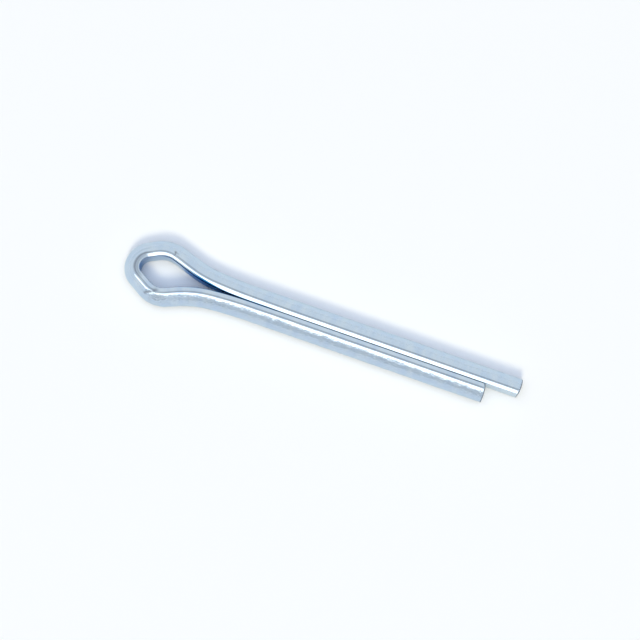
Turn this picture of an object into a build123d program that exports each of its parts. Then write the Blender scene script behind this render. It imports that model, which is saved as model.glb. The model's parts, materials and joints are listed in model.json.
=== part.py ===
"""Split cotter pin, 3.2 x 25: one length of half-round wire, folded on its flat side.

The wire runs back from the tip of the long leg, swells out into a teardrop eye, turns round
the crown of the eye and comes back as the short leg. The closed legs lie flat to flat and
make a round shank. The shank's axis is +X, towards the tips, and the eye lies in the XY
plane: the pin is modelled on its side, as it comes to rest, with the long leg on the +Y
side. The origin is on the shank's axis, where both legs have come parallel. Millimetres.
"""

import os
from math import acos, cos, degrees, radians, sin, sqrt, tan

from build123d import *

# The wire, and the shank that its two legs make
shank_dia = 2.9
leg_gap = 0.034  # the flats spring this far apart
corner_radius = 0.37  # soft corners, where the round side turns in to the bevels
corner_inset = 0.41  # from the flat to the top of a corner, less where the wire is thinner
bevel_slope = 25.0  # degrees, down from the corners to the crisp edges of the flat
short_leg = 19.98  # from the origin to each tip
long_leg = 22.66
tip_break = 0.08  # worn edge round each sheared tip

# The opening of the eye, measured to the flat of the wire. Slopes are from the shank's axis.
eye_offset = 0.09  # the eye leans this far from the shank's axis, to the short leg's side
half_width = 1.29  # at the shoulders, from the eye's own axis
long_crown_radius = 0.875
long_crown_slope = 26.5  # degrees, where the crown runs on to the shoulder
long_shoulder_radius = 1.9
long_neck_slope = 18.0  # degrees, where the shoulder runs down to the neck
short_crown_radius = 0.63  # the short leg's side is folded tighter
short_crown_slope = 29.5  # degrees
short_shoulder_radius = 1.43
short_neck_slope = 24.5  # degrees
neck_radius = 9.2
ease_slope = 5.0  # degrees, still left where the neck gives way to a long easy bend
ease_radius = 42.0

# The wire is stretched thinner round the eye
thin_wire = 1.3  # at the thinnest point
thin_point = 0.7  # along the wire from the crown, on the short leg's side
thin_reach = 4.2  # along the wire from the thinnest point to full thickness
thin_steps = 24  # spans between the sections that carry the change

shank_radius = shank_dia / 2
flat_offset = leg_gap / 2
full_wire = shank_radius - flat_offset


def wire_section(thickness):
    """The half-round section: its flat on the local Y axis, its round side towards +X."""
    middle = thickness - shank_radius
    corner_x = corner_inset * thickness / full_wire
    corner_path = shank_radius - corner_radius
    corner_y = sqrt(corner_path**2 - (corner_x - middle) ** 2)
    blend = degrees(acos((corner_x - middle) / corner_path))
    corner_turn = 90 + bevel_slope - blend
    bevel_x = corner_x - corner_radius * sin(radians(bevel_slope))
    bevel_y = corner_y + corner_radius * cos(radians(bevel_slope))
    flat_y = bevel_y - bevel_x * tan(radians(bevel_slope))
    outline = [
        Line((0, flat_y), (0, -flat_y)),
        Line((0, -flat_y), (bevel_x, -bevel_y)),
        CenterArc((corner_x, -corner_y), corner_radius, 270 - bevel_slope, corner_turn),
        CenterArc((middle, 0), shank_radius, -blend, 2 * blend),
        CenterArc((corner_x, corner_y), corner_radius, blend, corner_turn),
        Line((bevel_x, bevel_y), (0, flat_y)),
    ]
    return make_face(outline).face()


def section_across(path, place, thickness, side=1):
    """The section standing across a path of the flat, its round side on the path's left where
    side is 1 and on its right where side is -1."""
    tangent = path % place
    across = Plane(path @ place, x_dir=Vector(0, 0, side).cross(tangent), z_dir=tangent)
    return across * wire_section(thickness)


def wire_thickness(distance):
    """Thickness at a distance along the flat from the crown, positive towards the long leg."""
    share = min(abs(distance + thin_point) / thin_reach, 1)
    return thin_wire + (full_wire - thin_wire) * share**2 * (3 - 2 * share)


def half_eye(side, crown_radius, crown_slope, shoulder_radius, neck_slope):
    """The line of the flat from the crown of the eye, at X 0, to where the leg is parallel.

    Each piece runs on from the last. side is 1 for the long leg's half, -1 for the short one's.
    """
    a, b, c = radians(crown_slope), radians(neck_slope), radians(ease_slope)
    rise = half_width - shoulder_radius + (shoulder_radius - crown_radius) * cos(a)
    fall = half_width - side * eye_offset - shoulder_radius * (1 - cos(b)) - flat_offset
    fall -= neck_radius * (cos(c) - cos(b)) + ease_radius * (1 - cos(c))
    crown = JernArc((0, -eye_offset), (0, side), crown_radius, side * (crown_slope - 90))
    flank = PolarLine(crown @ 1, rise / sin(a), direction=crown % 1)
    shoulder = JernArc(flank @ 1, flank % 1, shoulder_radius, -side * (crown_slope + neck_slope))
    slope = PolarLine(shoulder @ 1, fall / sin(b), direction=shoulder % 1)
    neck = JernArc(slope @ 1, slope % 1, neck_radius, side * (neck_slope - ease_slope))
    ease = JernArc(neck @ 1, neck % 1, ease_radius, side * ease_slope)
    return [crown, flank, shoulder, slope, neck, ease]


def bent_wire(long_lines, short_lines):
    """The eye between its two necks, swept through sections of changing thickness."""
    path = Wire([line.edge() for line in long_lines[::-1] + short_lines])
    to_crown = sum(line.length for line in short_lines)
    places = [step / thin_steps for step in range(thin_steps + 1)]
    sections = [
        section_across(path, place, wire_thickness(place * path.length - to_crown))
        for place in places
    ]
    return sweep(sections, path, multisection=True)


def leg(lines, tip_x, side):
    """One leg from the neck of the eye to its tip, with the worn edge round the cut."""
    straight = Line(lines[-1] @ 1, (tip_x, (lines[-1] @ 1).Y))
    path = Wire([line.edge() for line in lines + [straight]])
    wire = sweep(section_across(path, 0, full_wire, side), path)
    cut = wire.faces().sort_by(Axis.X)[-1]
    return fillet(cut.edges(), tip_break)


long_half = half_eye(
    1, long_crown_radius, long_crown_slope, long_shoulder_radius, long_neck_slope
)
short_half = half_eye(
    -1, short_crown_radius, short_crown_slope, short_shoulder_radius, short_neck_slope
)
shank_start = max((long_half[-1] @ 1).X, (short_half[-1] @ 1).X)
long_leg_wire = leg(long_half[5:], shank_start + long_leg, 1)
short_leg_wire = leg(short_half[5:], shank_start + short_leg, -1)
eye_wire = bent_wire(long_half[:5], short_half[:5])
pin = eye_wire.fuse(long_leg_wire, short_leg_wire, glue=True)  # they meet face to face
pin = Pos(X=-shank_start) * pin

os.makedirs("parts", exist_ok=True)
export_step(pin, "parts/cotter_pin.step")
print("crown at X", -shank_start, "overall", pin.bounding_box().size, "volume", pin.volume)
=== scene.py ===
# %% [markdown]
# # A split cotter pin on a white table
#
# The pin is one length of half-round steel wire, folded on its flat side and zinc plated.
# The solid model gives its true form and size. Here the same wire is swept again as a finer
# mesh, so that the uneven skin, the tool marks and the sheared tips can be real geometry, and
# the plating gets a material of its own.

# %% Tools and the fixed frame
import json
import math

import bpy
import numpy as np
from mathutils import Matrix, Vector


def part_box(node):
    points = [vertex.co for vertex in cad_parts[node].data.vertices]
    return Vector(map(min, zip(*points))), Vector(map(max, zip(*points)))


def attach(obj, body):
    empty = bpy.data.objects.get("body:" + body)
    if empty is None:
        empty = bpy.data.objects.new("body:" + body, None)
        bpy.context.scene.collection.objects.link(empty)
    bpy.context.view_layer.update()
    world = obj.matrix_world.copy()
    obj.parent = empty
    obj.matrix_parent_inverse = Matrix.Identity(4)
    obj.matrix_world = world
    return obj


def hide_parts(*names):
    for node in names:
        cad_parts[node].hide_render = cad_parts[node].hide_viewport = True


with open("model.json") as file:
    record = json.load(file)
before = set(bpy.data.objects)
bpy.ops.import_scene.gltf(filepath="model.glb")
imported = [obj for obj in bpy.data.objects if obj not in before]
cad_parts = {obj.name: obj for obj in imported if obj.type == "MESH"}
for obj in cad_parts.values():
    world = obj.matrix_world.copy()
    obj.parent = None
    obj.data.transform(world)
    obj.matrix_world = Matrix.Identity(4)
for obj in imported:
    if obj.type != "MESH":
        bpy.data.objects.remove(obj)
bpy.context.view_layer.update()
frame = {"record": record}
PIN_NODE = "cotter_pin"
PIN_LOW, PIN_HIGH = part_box(PIN_NODE)
MM = 0.001
print("solid pin, mm:", [round(side / MM, 2) for side in PIN_HIGH - PIN_LOW])

# %% [markdown]
# ## The camera
#
# The pin lies on its side and is seen from almost straight above, from a little towards the
# side of its short leg, with the shank running down to the right. A camera can be placed by
# angles or by a tracking constraint. Here its own axes are worked out as three vectors,
# because the lamps are placed by the same vectors later. A long lens from far off keeps the
# perspective weak, as in a catalogue close-up.

# %% Camera
SHANK_TURN = math.radians(19.4)  # the shank falls this far to the right of the picture's level
CAMERA_ELEVATION = math.radians(82.3)
CAMERA_DISTANCE = 200 * MM
VIEW_WIDTH = 51.95 * MM  # what the picture takes in, at the height of the shank's axis
AIM = Vector((5.461, 0.470, 0.977)) * MM  # the place in the middle of the picture
STRAIGHT_UP = Vector((0, 0, 1))

picture_right = Vector((math.cos(SHANK_TURN), math.sin(SHANK_TURN), 0))
picture_away = Vector((-math.sin(SHANK_TURN), math.cos(SHANK_TURN), 0))
to_camera = math.sin(CAMERA_ELEVATION) * STRAIGHT_UP - math.cos(CAMERA_ELEVATION) * picture_away

lens = bpy.data.cameras.new("camera")
lens.lens = lens.sensor_width * CAMERA_DISTANCE / VIEW_WIDTH
lens.clip_start = 0.05 * CAMERA_DISTANCE
lens.clip_end = 50 * CAMERA_DISTANCE
camera = bpy.data.objects.new("camera", lens)
bpy.context.scene.collection.objects.link(camera)
picture_up = to_camera.cross(picture_right)
turn = Matrix((picture_right, picture_up, to_camera)).transposed()
camera.matrix_world = Matrix.Translation(AIM + CAMERA_DISTANCE * to_camera) @ turn.to_4x4()
bpy.context.scene.camera = camera
print("lens:", round(lens.lens, 1), "mm")

# %% [markdown]
# ## Writing shaders as expressions
#
# Nodes can be added and linked one by one, but a long tree is then hard to follow in a script.
# It is easier to read as arithmetic. A small class wraps an output socket, so that `1 - mask`
# or `mask * 0.2` adds the Math node, and every other node comes from one call that sets the
# node's own settings before its sockets. Colours are blended by a Mix node, because a Math
# node would turn them grey.

# %% A socket that can be used in an expression
class Socket:
    """An output socket of a node tree; arithmetic on it adds Math nodes."""

    def __init__(self, graph, output):
        self.graph = graph
        self.output = output

    def math(self, operation, *others):
        values = dict(enumerate((self,) + others))
        return self.graph.node("ShaderNodeMath", {"operation": operation}, values)["Value"]

    def __add__(self, other):
        return self.math("ADD", other)

    def __sub__(self, other):
        return self.math("SUBTRACT", other)

    def __rsub__(self, other):
        return (self * -1) + other

    def __mul__(self, other):
        return self.math("MULTIPLY", other)

    def __pow__(self, other):
        return self.math("POWER", other)

    __radd__ = __add__
    __rmul__ = __mul__


class Node:
    """A node whose outputs are read by name or by number, as sockets."""

    def __init__(self, graph, made):
        self.graph = graph
        self.made = made

    def __getitem__(self, name):
        return Socket(self.graph, self.made.outputs[name])


print("sockets take +, -, * and **")

# %% A node tree that builds itself
MIX_COLOURS = (6, 7)  # a Mix node's two colour inputs have the same names as its number inputs
MIX_RESULT = 2  # and so has its colour output


class Graph:
    """The node tree of a material, lamp or world, cleared and ready to build."""

    def __init__(self, owner):
        owner.use_nodes = True
        self.tree = owner.node_tree
        self.tree.nodes.clear()

    def node(self, kind, settings=None, inputs=None):
        made = self.tree.nodes.new(kind)
        for name, value in (settings or {}).items():
            setattr(made, name, value)
        for name, value in (inputs or {}).items():
            if isinstance(value, Socket):
                self.tree.links.new(value.output, made.inputs[name])
            else:
                made.inputs[name].default_value = value
        return Node(self, made)

    def mix(self, share, low, high):
        values = {"Factor": share, MIX_COLOURS[0]: low, MIX_COLOURS[1]: high}
        return self.node("ShaderNodeMix", {"data_type": "RGBA"}, values)[MIX_RESULT]


print("graphs build nodes and mix colours")

# %% [markdown]
# ## Floor and light
#
# The pin lies on a plain white table. Bright metal shows what stands round it, so the light
# is built from what the plating should mirror. A wide soft panel, the softbox, hangs level
# overhead towards the picture's lower left, and makes the bright line along each leg. A small
# warm lamp by its upper right corner, the core, throws the shadow up the picture. The softbox
# is only mirrored and the core only lights, so that each can be set without the other.
#
# The surround does two jobs as well. The metal mirrors it as a pale room with two darker
# patches, which are the darker lines and the grey band beside the bright lines. The floor gets
# cold light from it, most of it from overhead, which fills the shadow and leaves it darkest
# close to the pin. A panorama of a real studio could be wrapped round the scene instead, but
# then its parts couldn't be moved one by one.

# %% Floor
FLOOR_REACH = 3.0  # m from the middle to each side
FLOOR_WHITE = (0.95, 0.955, 0.955, 1)

floor_mesh = bpy.data.meshes.new("floor")
corners = [(-1, -1), (1, -1), (1, 1), (-1, 1)]
floor_points = [(x * FLOOR_REACH, y * FLOOR_REACH, PIN_LOW.z) for x, y in corners]
floor_mesh.from_pydata(floor_points, [], [(0, 1, 2, 3)])
floor = bpy.data.objects.new("floor", floor_mesh)
bpy.context.scene.collection.objects.link(floor)

floor_paint = bpy.data.materials.new("floor_white")
paint = Graph(floor_paint)
matt = paint.node("ShaderNodeBsdfDiffuse", inputs={"Color": FLOOR_WHITE})
paint.node("ShaderNodeOutputMaterial", inputs={"Surface": matt["BSDF"]})
floor_mesh.materials.append(floor_paint)
print("floor at Z", round(PIN_LOW.z / MM, 3), "mm")


# %% Directions round the pin
def direction(tilt, bearing):
    """Unit vector tilted from straight up towards the picture's foot, turned to its left."""
    level = -math.cos(bearing) * picture_away - math.sin(bearing) * picture_right
    return math.cos(tilt) * STRAIGHT_UP + math.sin(tilt) * level


print("down the picture is", [round(part, 2) for part in direction(math.pi / 2, 0)])

# %% Surround
MIRRORED_PALE = (0.93, 0.955, 0.97, 1)
MIRRORED_BLACK = (0, 0, 0, 1)
OVERHEAD_DARK = {"tilt": -7, "bearing": 19, "spread": 18, "depth": 0.55}  # angles in degrees
NEAR_DARK = {"tilt": 76, "bearing": 19, "spread": 13, "depth": 0.36}
OVERHEAD_LIGHT = (4.40, 4.86, 5.75, 1)  # on the floor, at the light's middle
OVERHEAD_TILT = math.radians(2)
OVERHEAD_FOCUS = 16  # the power that makes this light fall off quickly round its middle
ALL_ROUND_LIGHT = (0.20, 0.215, 0.235, 1)  # what is left of it everywhere else

world = bpy.data.worlds.new("surround")
bpy.context.scene.world = world
sky = Graph(world)
toward = sky.node("ShaderNodeTexCoord")["Generated"]


def lined_up(tilt, bearing):
    """Cosine of the angle between a place in the surround and this direction."""
    vectors = {0: toward, 1: direction(tilt, bearing)}
    return sky.node("ShaderNodeVectorMath", {"operation": "DOT_PRODUCT"}, vectors)["Value"]


def dimmed(tilt, bearing, spread, depth):
    """1, less a soft round dark patch of this depth; the angles are in degrees."""
    off = lined_up(math.radians(tilt), math.radians(bearing)) - 1
    return 1 - (off * (2 / math.radians(spread) ** 2)).math("EXPONENT") * depth


pale_share = dimmed(**OVERHEAD_DARK) * dimmed(**NEAR_DARK)
mirrored = sky.mix(pale_share, MIRRORED_BLACK, MIRRORED_PALE)
falloff = lined_up(OVERHEAD_TILT, 0).math("MAXIMUM", 0) ** OVERHEAD_FOCUS
lighting = sky.mix(falloff, ALL_ROUND_LIGHT, OVERHEAD_LIGHT)
ray = sky.node("ShaderNodeLightPath")
seen = ray["Is Camera Ray"] + ray["Is Glossy Ray"] + ray["Is Transmission Ray"]
colour = sky.mix(seen, lighting, mirrored)
glow = sky.node("ShaderNodeBackground", inputs={"Color": colour, "Strength": 1.0})
sky.node("ShaderNodeOutputWorld", inputs={"Surface": glow["Background"]})
print("surround:", len(sky.tree.nodes), "nodes")

# %% Mirrored panel and shadow lamp
PANEL_HEIGHT = 3.0  # m, so far off that the panel looks the same from the whole pin


def panel(name, left, right, foot, head, radiance, colour):
    """A level lamp facing down; its edges, along the picture's sides, are for a height of 1."""
    lamp = bpy.data.lights.new(name, "AREA")
    lamp.shape = "RECTANGLE"
    lamp.size = (right - left) * PANEL_HEIGHT
    lamp.size_y = (head - foot) * PANEL_HEIGHT
    lamp.energy = radiance * math.pi * lamp.size * lamp.size_y
    lamp.color = colour
    holder = bpy.data.objects.new(name, lamp)
    bpy.context.scene.collection.objects.link(holder)
    middle = picture_right * (left + right) / 2 + picture_away * (foot + head) / 2
    facing = Matrix((picture_right, picture_away, STRAIGHT_UP)).transposed()
    place = Matrix.Translation((middle + STRAIGHT_UP) * PANEL_HEIGHT)
    holder.matrix_world = place @ facing.to_4x4()
    print(name, "is", round(lamp.size, 2), "by", round(lamp.size_y, 2), "m")
    return holder


softbox = panel("softbox", -1.53, 0.06, -1.12, -0.52, radiance=1.60, colour=(1.0, 0.98, 0.93))
softbox.visible_diffuse = False
core = panel("core", -0.18, 0.025, -0.70, -0.41, radiance=30.5, colour=(1.0, 0.89, 0.61))
core.visible_glossy = False

# %% [markdown]
# ## The line of the wire
#
# The real pin is bent over a former, so its outline is straight runs and round bends that
# follow on from each other. A Bezier curve drawn by eye would look close, but its bends would
# have no true radius. Here the runs and bends are the same as in the solid, laid along the
# flat of the wire from the tip of the long leg, round the crown of the eye, to the tip of the
# short one. The heading is added up in fine steps, which gives every point of the line.

# %% Driving sizes of the fold, in millimetres; slopes in degrees
SHANK = next(mount for mount in frame["record"]["mounts"] if mount["name"] == "shank")
SHANK_RADIUS = SHANK["dims"]["r_mm"]
LEG_GAP = 0.034
SHORT_LEG = 19.98
LONG_LEG = PIN_HIGH.x / MM
FLAT_OFFSET = LEG_GAP / 2

EYE_OFFSET = 0.09  # the eye leans this far to the short leg's side
HALF_WIDTH = 1.29
LONG_SIDE = {"crown_radius": 0.875, "crown_slope": 26.5, "shoulder_radius": 1.9, "neck_slope": 18.0}
SHORT_SIDE = {"crown_radius": 0.63, "crown_slope": 29.5, "shoulder_radius": 1.43, "neck_slope": 24.5}
NECK_RADIUS = 9.2
EASE_SLOPE = 5.0
EASE_RADIUS = 42.0
print("shank radius:", SHANK_RADIUS, "mm, long leg:", round(LONG_LEG, 2), "mm")


# %% Half of the fold, as runs and bends
def half_fold(offset, crown_radius, crown_slope, shoulder_radius, neck_slope):
    """(length, turn in radians) of each run and bend from the crown out to the parallel leg.

    offset moves the half's shoulder towards the shank's axis. A turn towards the leg's own
    side is negative here, for the long half; the short half has the same turns mirrored.
    """
    a, b, c = (math.radians(slope) for slope in (crown_slope, neck_slope, EASE_SLOPE))
    rise = HALF_WIDTH - shoulder_radius + (shoulder_radius - crown_radius) * math.cos(a)
    fall = HALF_WIDTH - offset - shoulder_radius * (1 - math.cos(b)) - FLAT_OFFSET
    fall -= NECK_RADIUS * (math.cos(c) - math.cos(b)) + EASE_RADIUS * (1 - math.cos(c))
    quarter = math.pi / 2
    return [
        (crown_radius * (quarter - a), a - quarter),
        (rise / math.sin(a), 0.0),
        (shoulder_radius * (a + b), -(a + b)),
        (fall / math.sin(b), 0.0),
        (NECK_RADIUS * (b - c), b - c),
        (EASE_RADIUS * c, c),
    ]


LONG_HALF = half_fold(EYE_OFFSET, **LONG_SIDE)
SHORT_HALF = half_fold(-EYE_OFFSET, **SHORT_SIDE)
for name, pieces in (("long", LONG_HALF), ("short", SHORT_HALF)):
    print(name, "half, crown to parallel leg:", round(sum(length for length, _ in pieces), 2), "mm")

# %% The fold as points
FINE = 0.005  # step along the wire while its line is worked out


def fold_line(pieces, side):
    """Distance from the crown, X, Y and heading along one half, in fine steps.

    side is 1 for the long leg's half. The crown of the opening is at X 0. The last value is
    the distance at which the leg has come parallel.
    """
    lengths, bends = np.array(pieces).T
    knots = np.concatenate([[0], np.cumsum(lengths)])
    turns = np.concatenate([[0], np.cumsum(bends)])
    distance = np.arange(0, knots[-1] + 1.1 * LONG_LEG, FINE)  # past either tip
    heading = side * (math.pi / 2 + np.interp(distance, knots, turns))
    middle = (heading[1:] + heading[:-1]) / 2
    x = np.concatenate([[0], np.cumsum(np.cos(middle))]) * FINE
    y = np.concatenate([[0], np.cumsum(np.sin(middle))]) * FINE - EYE_OFFSET
    return distance, x, y, heading, knots[-1]


LONG_LINE = fold_line(LONG_HALF, 1)
SHORT_LINE = fold_line(SHORT_HALF, -1)
parallel_from = [np.interp(line[4], line[0], line[1]) for line in (LONG_LINE, SHORT_LINE)]
CROWN_X = -float(max(parallel_from))
print("inside of the crown at X", round(CROWN_X, 3), "mm")

# %% Where the rings of the mesh stand
EYE_STEP = 0.045
LEG_STEP = 0.070
EYE_RUN = 9.0  # the closer rings reach this far from the crown


def ring_places(line, tip_x):
    """Signed distance, X, Y, and outward direction of the flat at each ring, crown to tip."""
    distance, x, y, heading, _ = line
    leg = distance > EYE_RUN
    tip = float(np.interp(tip_x - CROWN_X, x[leg], distance[leg]))
    near = np.arange(0, EYE_RUN, EYE_STEP)
    far = np.linspace(EYE_RUN, tip, math.ceil((tip - EYE_RUN) / LEG_STEP))
    at = np.concatenate([near, far])
    turned = np.interp(at, distance, heading)
    side = math.copysign(1, turned[0])
    off_flat = side * np.array([-np.sin(turned), np.cos(turned)])
    place = np.array([np.interp(at, distance, x) + CROWN_X, np.interp(at, distance, y)])
    return side * at, place.T, off_flat.T


long_rings = ring_places(LONG_LINE, LONG_LEG)
short_rings = ring_places(SHORT_LINE, SHORT_LEG)
along = np.concatenate([-long_rings[0][::-1], -short_rings[0][1:]])  # negative on the long side
flat_line = np.concatenate([long_rings[1][::-1], short_rings[1][1:]])
outward = np.concatenate([long_rings[2][::-1], short_rings[2][1:]])
print("rings:", len(along), "wire length:", round(along[-1] - along[0], 2), "mm")

# %% [markdown]
# ## The section of the wire
#
# Half-round wire is a circle rolled flat on one side. From each edge of the flat a bevel rises
# to a soft corner, and the round side begins there. Seen from above, the long leg's bevel is
# its crisp bright line, and the short leg's is the plain stripe next to it. Round the eye the
# wire has been stretched, so it is thinner, and on the long leg's neck the edge of the flat
# has been rubbed round.
#
# A curve object with a bevel profile would sweep one section quickly, but it can't change the
# section on the way. So each ring of the mesh is this outline with its own sizes, always with
# the same number of points on the flat, the edges, the bevels, the corners and the round side,
# and the rings join into clean strips.


# %% How the section changes along the wire
def eased(share):
    """A share from 0 to 1 with a soft start and end, cut off below 0 and above 1."""
    share = np.clip(share, 0, 1)
    return share**2 * (3 - 2 * share)


FULL_WIRE = SHANK_RADIUS - FLAT_OFFSET
THIN_WIRE = 1.3
THIN_POINT = 0.7  # from the crown, on the short leg's side
THIN_REACH = 4.2
CORNER_INSET = 0.41  # from the flat to the top of a corner
LEG_CORNER_INSET = 0.375  # the corners are a little tighter on the straight legs
LEG_CORNER_START = 9.0  # from the crown
LEG_CORNER_EASE = 5.0
EDGE_RADIUS = 0.05  # the edge of the flat is crisp, but not a knife's
NECK_EDGE_RADIUS = 0.32  # on the long leg's neck
NECK_MIDDLE = -4.7
NECK_REACH = 2.5


def wire_thickness(distance):
    """Thickness at a signed distance from the crown, negative on the long leg's side."""
    return THIN_WIRE + (FULL_WIRE - THIN_WIRE) * eased(np.abs(distance - THIN_POINT) / THIN_REACH)


def corner_inset(distance):
    """How far a corner's top lies from the flat, less where the wire is thinner."""
    on_leg = eased((np.abs(distance) - LEG_CORNER_START) / LEG_CORNER_EASE)
    inset = CORNER_INSET + (LEG_CORNER_INSET - CORNER_INSET) * on_leg
    return inset * wire_thickness(distance) / FULL_WIRE


def edge_radius(distance):
    """Radius of the edge of the flat."""
    on_neck = np.exp(-(((distance - NECK_MIDDLE) / NECK_REACH) ** 4))
    return EDGE_RADIUS + (NECK_EDGE_RADIUS - EDGE_RADIUS) * on_neck


print("thinnest wire:", round(float(wire_thickness(along).min()), 2), "mm")


# %% Runs and arcs of the outline
def arc(centre, radius, start, end, count):
    """(across, up, normal angle) of points along an arc; its last point starts the next run."""
    places = []
    for share in np.arange(count) / count:
        normal = start + (end - start) * share
        place = (centre[0] + radius * np.cos(normal), centre[1] + radius * np.sin(normal))
        places.append((*place, normal))
    return places


def straight(start, end, normal, count):
    """The same along a straight run, whose normal angle stays the same."""
    places = []
    for share in np.arange(count) / count:
        place = [low + (high - low) * share for low, high in zip(start, end)]
        places.append((*place, normal))
    return places


print("a straight run of 1 in two points:", straight((0, 0), (0, 1), 0, 2))

# %% Outline of the section at every ring
CORNER_RADIUS = 0.37
BEVEL_SLOPE = math.radians(25)
FLAT_POINTS = 12
EDGE_POINTS = 3
BEVEL_POINTS = 6
CORNER_POINTS = 10
ROUND_POINTS = 40


def section(thickness, corner, edge_round):
    """Points and normals of the outline: across is away from the flat, up is Z."""
    nought = 0 * thickness
    middle = thickness - SHANK_RADIUS
    corner_path = SHANK_RADIUS - CORNER_RADIUS
    corner_up = np.sqrt(corner_path**2 - (corner - middle) ** 2)
    blend = np.arccos((corner - middle) / corner_path)
    slope_x, slope_up = math.sin(BEVEL_SLOPE), math.cos(BEVEL_SLOPE)
    bevel = (corner - CORNER_RADIUS * slope_x, corner_up + CORNER_RADIUS * slope_up)
    flat_up = bevel[1] - bevel[0] * slope_x / slope_up
    edge_up = flat_up - edge_round * (1 - slope_x) / slope_up
    edge = (edge_round * (1 - slope_x), edge_up + edge_round * slope_up)
    lean = math.pi / 2 + BEVEL_SLOPE
    full = 2 * math.pi
    outline = straight((nought, edge_up), (nought, -edge_up), nought + math.pi, FLAT_POINTS)
    outline += arc((edge_round, -edge_up), edge_round, nought + math.pi, full - lean, EDGE_POINTS)
    outline += straight((edge[0], -edge[1]), (bevel[0], -bevel[1]), nought + full - lean, BEVEL_POINTS)
    outline += arc((corner, -corner_up), CORNER_RADIUS, full - lean, full - blend, CORNER_POINTS)
    outline += arc((middle, nought), SHANK_RADIUS, -blend, blend, ROUND_POINTS)
    outline += arc((corner, corner_up), CORNER_RADIUS, blend, lean, CORNER_POINTS)
    outline += straight(bevel, edge, nought + lean, BEVEL_POINTS)
    outline += arc((edge_round, edge_up), edge_round, nought + lean, math.pi, EDGE_POINTS)
    return tuple(np.stack(column, axis=1) for column in zip(*outline))


across, up, angle = section(wire_thickness(along), corner_inset(along), edge_radius(along))
print("points round each ring:", across.shape[1])

# %% [markdown]
# ## Skin and marks
#
# The round side was rolled and drawn, so it is gently uneven: most on the short leg's side,
# where the bending tool pressed, and hardly at all on the long leg. Fine streaks run over the
# crown, where the wire was stretched. A nick crosses the short leg's shoulder, and a smaller
# hooked one the long leg's. The flats, bevels and corners stay clean.
#
# A Displace modifier or sculpting could do this. Here the heights are worked out as numbers
# for each point of each ring instead. The noise then follows the wire round its bends, comes
# out the same on every run, and the plating can read it as well.

# %% Noise that lies on the wire
DICE = np.random.default_rng(11)
CELL = 0.04  # mm between the values of the noise
CELLS_ROUND = 256
girth = np.concatenate([[0], np.cumsum(np.hypot(np.diff(across[0]), np.diff(up[0])))])


def skin_noise(long_grain, cross_grain):
    """Smooth seeded noise of rms 1 at every ring point; the grains are its reach in mm."""
    shape = (int((along[-1] - along[0]) / CELL) + 2, CELLS_ROUND)
    down = np.fft.fftfreq(shape[0])[:, None] * long_grain / CELL
    over = np.fft.rfftfreq(shape[1])[None, :] * cross_grain / CELL
    blur = np.exp(-2 * math.pi**2 * (down**2 + over**2))
    field = np.fft.irfft2(np.fft.rfft2(DICE.standard_normal(shape)) * blur, shape)
    row, row_share = np.divmod((along - along[0])[:, None] / CELL, 1)
    column, column_share = np.divmod(girth[None, :] / CELL, 1)
    row, column = row.astype(int), column.astype(int)
    here = field[row, column] * (1 - column_share) + field[row, column + 1] * column_share
    after = field[row + 1, column] * (1 - column_share) + field[row + 1, column + 1] * column_share
    return (here * (1 - row_share) + after * row_share) / field.std()


def window(value, start, end, fade):
    """1 from start to end, fading smoothly to 0 over `fade` on either side."""
    return eased(np.minimum(value - start, end - value) / fade + 1)


print("girth of the wire:", round(float(girth[-1]), 2), "mm")

# %% Uneven skin
ROUND_MARGIN = 4  # points by each corner over which the round side is still smooth
PRESSED_FROM = 2.3  # from the crown; the tool pressed the short leg from here to its tip
STRETCHED_FROM, STRETCHED_TO = -1.0, 1.2
LONG_LEG_SHARE = 0.07  # of the short leg's unevenness
RIPPLES = (((0.07, 0.14), 0.0062), ((0.24, 0.18), 0.0024))  # reach along and across, height; mm
STREAKS = ((0.60, 0.07), 0.0045)

round_from = FLAT_POINTS + EDGE_POINTS + BEVEL_POINTS + CORNER_POINTS + ROUND_MARGIN
round_to = round_from + ROUND_POINTS - 2 * ROUND_MARGIN
ON_ROUND = window(np.arange(across.shape[1]), round_from, round_to, 5)
PRESSED = window(along, PRESSED_FROM, along[-1], 0.7)[:, None]
STRETCHED = window(along, STRETCHED_FROM, STRETCHED_TO, 1.2)[:, None]
UNEVEN = ON_ROUND * np.maximum(PRESSED, LONG_LEG_SHARE)

skin = sum(skin_noise(*reach) * height * UNEVEN for reach, height in RIPPLES)
skin += skin_noise(*STREAKS[0]) * STREAKS[1] * STRETCHED * ON_ROUND
print("skin, rms in mm:", round(float(skin.std()), 4))

# %% Nicks, tool marks, and a painted dark patch on the crown
NICK_DEPTH = 0.034
MARKS = {  # from and to, each as (along, off the flat), then half the width and the height; mm
    "nick": ((2.0, 0.92), (2.25, 0.62), 0.065, -NICK_DEPTH),
    "nick's tail": ((1.95, 0.72), (2.12, 0.80), 0.05, -0.020),
    "dent": ((2.35, 0.50), (2.5, 0.30), 0.16, -0.030),
    "hook": ((-2.98, 0.42), (-2.9, 0.66), 0.065, -0.030),
    "hook's barb": ((-2.9, 0.66), (-3.12, 0.60), 0.05, -0.018),
    "faint line": ((2.3, 1.0), (2.45, 1.5), 0.06, -0.006),
}
ON_TOP = up > 0


def stroke(start, end, width, height):
    """A groove or ridge on the upper side between two (along, off the flat) places, in mm."""
    run = (end[0] - start[0], end[1] - start[1])
    aside = (along[:, None] - start[0], across - start[1])
    share = (aside[0] * run[0] + aside[1] * run[1]) / (run[0] ** 2 + run[1] ** 2)
    share = np.clip(share, 0, 1)
    off = np.hypot(aside[0] - share * run[0], aside[1] - share * run[1])
    return height * np.exp(-((off / width) ** 2)) * ON_TOP


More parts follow.
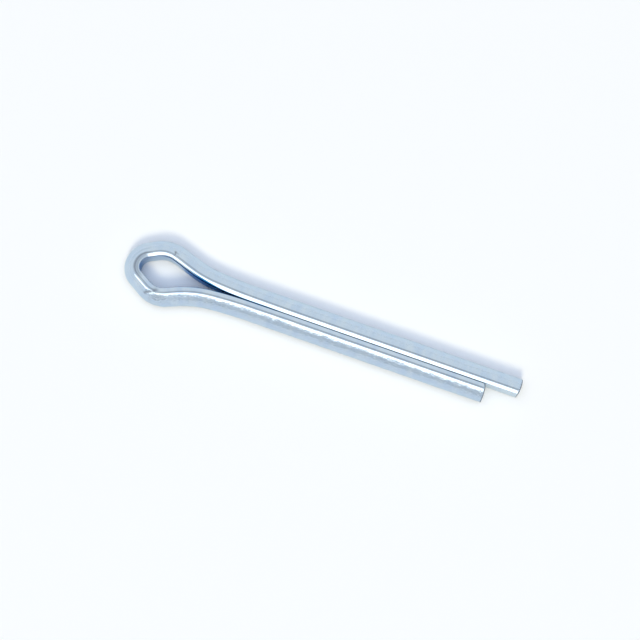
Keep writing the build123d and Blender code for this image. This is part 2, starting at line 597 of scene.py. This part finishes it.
marks = sum(stroke(*mark) for mark in MARKS.values())
# Painted shade: a soft dark patch over the top of the crown, darkening its reflection there; it goes
# into the worn mask below.
painted_crown_dark = window(along, -0.9, 0.6, 0.6)[:, None] * window(across, 0.15, 0.6, 0.25) * ON_TOP
painted_crown_dark = painted_crown_dark * np.clip(0.6 + 0.5 * skin_noise(0.5, 0.06), 0, 1)
across = across + (skin + marks) * np.cos(angle)
up = up + (skin + marks) * np.sin(angle)
print("deepest mark:", round(float(marks.min()), 3), "mm")

# %% [markdown]
# ## The mesh of the wire
#
# Every ring is set across the line of the flat and joined to the next. The real wire was
# sheared: the cut has a small worn edge, and the shears drew its sides back a little, mostly
# the flat one. A Bevel modifier would need to be told which edges are the cut's. It is as easy
# to close each tip by smaller and smaller rings, first round the worn edge and then over the
# face of the cut, and then every strip of the mesh stays even.


# %% Rings along the wire
def ring_points(rows, inset=0.0, ahead=0.0):
    """Places of the ring points: inset draws them in along their normals, ahead moves them on."""
    off_flat = across[rows] - inset * np.cos(angle[rows])
    height = up[rows] - inset * np.sin(angle[rows])
    level = flat_line[rows][:, None, :] + outward[rows][:, None, :] * off_flat[:, :, None]
    level = level + np.array([ahead, 0.0])
    return np.concatenate([level, height[:, :, None]], axis=2)


TIP_BREAK = 0.08
body = ring_points(np.arange(len(along)))
for end in (0, -1):
    body[end, :, 0] -= TIP_BREAK
print("height of the wire:", round(float(np.ptp(body[:, :, 2])), 3), "mm")

# %% Rings that close the tips
EDGE_RINGS = 4
FACE_SIZES = (0.85, 0.6, 0.3)  # of the rings on the face of the cut


def tip_rings(row):
    """Rings that close one tip, from the wire inwards, and the middle of the cut."""
    closing = []
    for turn_share in np.linspace(0, 1, EDGE_RINGS + 1)[1:]:
        swing = turn_share * math.pi / 2
        inset = TIP_BREAK * (1 - math.cos(swing))
        closing.append(ring_points([row], inset, TIP_BREAK * (math.sin(swing) - 1))[0])
    rim = closing[-1]
    centre = rim.mean(axis=0)
    for size in FACE_SIZES:
        closing.append(centre + (rim - centre) * size)
    return closing, centre


long_tip, long_centre = tip_rings(0)
short_tip, short_centre = tip_rings(len(along) - 1)
rings = np.concatenate([np.array(long_tip[::-1]), body, np.array(short_tip)])
count, around = rings.shape[:2]
print("rings with the tips:", count)

# %% What the shears drew back
LONG_BACK = (0.09, 0.07)  # mm that each tip is drawn back, at the flat and on the round side
SHORT_BACK = (0.22, 0.02)
FLAT_BACK_REACH = 0.35  # how far it fades off the flat
SHEAR_REACH = 0.9  # and how far along the leg


def draw_back(x, y, tip_x, flat_side, round_side):
    """How far the shears drew a point of the tip back."""
    off_flat = np.abs(y)
    back = flat_side * np.exp(-off_flat / FLAT_BACK_REACH)
    back += round_side * (off_flat / SHANK_RADIUS) ** 4
    return back * np.clip(1 - (tip_x - x) / SHEAR_REACH, 0, 1) ** 2


long_part, short_part = rings[: count // 2], rings[count // 2 :]
long_end = (long_part, long_centre, LONG_LEG, LONG_BACK)
short_end = (short_part, short_centre, SHORT_LEG, SHORT_BACK)
for part, centre, tip_x, back in (long_end, short_end):
    part[:, :, 0] -= draw_back(part[:, :, 0], part[:, :, 1], tip_x, *back)
    centre[0] -= draw_back(centre[0], centre[1], tip_x, *back)
print("tips at X", [round(float(centre[0]), 2) for centre in (long_centre, short_centre)], "mm")

# %% Rings into a mesh
points = np.concatenate([rings.reshape(-1, 3), [long_centre, short_centre]]) * MM
faces = []
for ring in range(count - 1):
    near, far = ring * around, (ring + 1) * around
    for step in range(around):
        after = (step + 1) % around
        faces.append((near + step, far + step, far + after, near + after))
last = (count - 1) * around
for step in range(around):
    after = (step + 1) % around
    faces.append((count * around, step, after))
    faces.append((count * around + 1, last + after, last + step))

wire_mesh = bpy.data.meshes.new("cotter_pin_wire")
wire_mesh.from_pydata(points.tolist(), [], faces)
wire_mesh.shade_smooth()
wire = bpy.data.objects.new("cotter_pin_wire", wire_mesh)
bpy.context.scene.collection.objects.link(wire)
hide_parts(PIN_NODE)
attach(wire, "root")
triangles = sum(len(face) - 2 for face in faces)
print("wire mesh:", len(points), "points,", triangles, "triangles")

# %% [markdown]
# ## What the plating needs to know
#
# The finish isn't the same all over. The flats that face each other are painted deep blue, which
# is painted shade between the legs. The skin is duller where it is uneven, the sheared tips and the
# nicks are worn and darker, and the crown has a painted dark patch. A material could work some of
# this out from the shape of the mesh, but only roughly. The script knows which point is which, so it
# stores a number from 0 to 1 at each point for each of these, and with them the place of the point
# on the wire, unrolled flat, for the grain to follow.


# %% Numbers stored on the points
def point_mask(name, share):
    """Store a number from 0 to 1 for each point, ring by ring, for the plating to read."""
    share = np.broadcast_to(share, (count, around)).ravel()
    stored = wire_mesh.attributes.new(name, "FLOAT", "POINT")
    stored.data.foreach_set("value", np.concatenate([share, [share[0], share[-1]]]))
    print(name, "is", round(float(share.mean()), 3), "on average")


TIP_RINGS = ((len(long_tip), len(short_tip)), (0, 0))
all_along = np.pad(along, TIP_RINGS[0], mode="edge")[:, None]
unrolled = wire_mesh.attributes.new("unrolled", "FLOAT_VECTOR", "POINT")
spread_out = np.zeros((count, around, 3))
spread_out[:, :, 0] = all_along
spread_out[:, :, 1] = girth
unrolled.data.foreach_set("vector", np.concatenate([spread_out.ravel(), np.zeros(6)]))

point_mask("uneven", np.pad(UNEVEN, TIP_RINGS, mode="edge"))

# %% Painted shade where the flats face each other, less where the wall mirrors the lit floor
SHORT_TIP_FADE = 2.0  # from the short tip, over which the long leg's flat loses its painted shade
LIT_FROM, LIT_TO = -3.6, -0.6  # the wall under the eye's top, where light comes in
NECK_FROM, NECK_TO = 6.0, 11.5  # here the edges of the flats get the painted shade as well
number = np.arange(around)
on_flat = number <= FLAT_POINTS
on_edge = (number > FLAT_POINTS) & (number <= FLAT_POINTS + EDGE_POINTS)
on_edge |= number >= around - EDGE_POINTS

between_legs = 1 - np.clip((rings[:, :1, 0] - SHORT_LEG) / SHORT_TIP_FADE + 1, 0, 1)
in_neck = window(np.abs(all_along), NECK_FROM, NECK_TO, 2.0)
lit = window(all_along, LIT_FROM, LIT_TO, 0.9)
downwards = number / FLAT_POINTS  # 0 at the upper edge of the flat, 1 at the lower one
# Painted shade: the facing flats are painted deep blue, paler under the eye's top and towards the foot
# of the wall there, where it mirrors the lit floor.
painted_shade_share = (1 - 0.6 * lit) * np.clip(1 - 0.75 * lit * downwards, 0, 1)
point_mask("painted_shade_flats", between_legs * (on_flat + in_neck * on_edge) * painted_shade_share)

# %% Worn places, darker marks and the painted dark patch on the crown
from_end = np.minimum(np.arange(count), np.arange(count)[::-1])[:, None]
cut_face = from_end <= len(FACE_SIZES)
cut_edge = (from_end > len(FACE_SIZES)) & (from_end <= len(FACE_SIZES) + EDGE_RINGS)
# Darker with the depth of each nick and mark, and with the painted dark patch on the crown.
marks_and_painted_crown = np.pad(np.clip(-marks / NICK_DEPTH, 0, 1) * 0.8 + painted_crown_dark * 0.5, TIP_RINGS)
point_mask("worn_and_painted_dark", cut_face * 0.4 + cut_edge * 1.0 + marks_and_painted_crown * ~(cut_face | cut_edge))

# %% [markdown]
# ## Zinc plating
#
# Bright zinc with a clear blue passivation is a mirror with a cold tint. It is a little cloudy
# in patches, and finely pitted where the skin is uneven. Where the flats face each other, their
# shade is painted as a much deeper blue. One metallic shader with a darker base colour there would
# still turn pale at a grazing view, so this painted shade is a second shader, mixed in by its
# mask.

# %% Colours of the plating
ZINC_BLUE = (0.50, 0.62, 0.765, 1)
ZINC_PALE = (0.58, 0.68, 0.775, 1)
ZINC_DULL = (0.40, 0.48, 0.60, 1)
# worn steel on the tips, also the colour of the darker marks and of the painted dark patch on the
# crown
WORN_AND_PAINTED_DARK = (0.22, 0.25, 0.29, 1)
EDGE_TINT = (0.80, 0.86, 0.88, 1)  # keeps the cold tint up to the silhouette
# painted shade on the flats that face each other, as a second metallic shader
PAINTED_SHADE_ZINC = (0.03, 0.21, 0.44, 1)
PAINTED_SHADE_TINT = (0.04, 0.33, 0.68, 1)

zinc = bpy.data.materials.new("zinc_plate")
plate = Graph(zinc)
on_wire = plate.node("ShaderNodeAttribute", {"attribute_name": "unrolled"})["Vector"]


def mask(name):
    """A number stored on the points, as a socket."""
    return plate.node("ShaderNodeAttribute", {"attribute_name": name})["Fac"]


def cloud(along_mm, across_mm, detail=2.0):
    """Noise from 0 to 1, in patches of about this size along and across the wire."""
    stretch = {0: on_wire, 1: (1 / along_mm, 1 / across_mm, 1)}
    place = plate.node("ShaderNodeVectorMath", {"operation": "MULTIPLY"}, stretch)["Vector"]
    inputs = {"Vector": place, "Scale": 1.0, "Detail": detail}
    return plate.node("ShaderNodeTexNoise", inputs=inputs)[0]


def spread(noise, gain):
    """The same noise with more contrast, kept from 0 to 1."""
    return ((noise - 0.5) * gain + 0.5).math("MAXIMUM", 0).math("MINIMUM", 1)


uneven, worn_and_painted_dark = mask("uneven"), mask("worn_and_painted_dark")
bloom = spread(cloud(0.14, 0.12), 4.0) * uneven * 0.45
tone = plate.mix(spread(cloud(0.8, 2.0, 4.0), 3.0), ZINC_BLUE, ZINC_PALE)
tone = plate.mix(bloom, tone, ZINC_DULL)
tone = plate.mix(worn_and_painted_dark, tone, WORN_AND_PAINTED_DARK)
print("colour of the plating:", len(plate.tree.nodes), "nodes")

# %% Gloss of the plating, and the painted shade on the facing flats
PIT_DEPTH = 0.032 * MM
GLOSS = 0.06  # roughness of the cleanest plating
PAINTED_SHADE_GLOSS = 0.12

grain = (cloud(0.11, 0.18) - 0.5) * (uneven * 0.95 + 0.05)
relief = {"Height": grain, "Strength": 1.0, "Distance": PIT_DEPTH}
pits = plate.node("ShaderNodeBump", inputs=relief)
bright = plate.node(
    "ShaderNodeBsdfPrincipled",
    inputs={
        "Base Color": tone,
        "Metallic": 1.0,
        "Roughness": spread(cloud(0.6, 0.3), 2.0) * 0.08 + worn_and_painted_dark * 0.2 + uneven * 0.05 + GLOSS,
        "Specular Tint": EDGE_TINT,
        "Normal": pits["Normal"],
    },
)
painted_shade_bsdf = plate.node(
    "ShaderNodeBsdfPrincipled",
    inputs={
        "Base Color": PAINTED_SHADE_ZINC,
        "Metallic": 1.0,
        "Roughness": PAINTED_SHADE_GLOSS,
        "Specular Tint": PAINTED_SHADE_TINT,
    },
)
shaders = {0: mask("painted_shade_flats"), 1: bright["BSDF"], 2: painted_shade_bsdf["BSDF"]}
coat = plate.node("ShaderNodeMixShader", inputs=shaders)
plate.node("ShaderNodeOutputMaterial", inputs={"Surface": coat["Shader"]})
wire_mesh.materials.append(zinc)
print("plating:", len(plate.tree.nodes), "nodes")

# %% [markdown]
# ## Finish
#
# The colours are shown as they are written, with no film look over them.

# %% View settings
bpy.context.scene.view_settings.view_transform = "Standard"
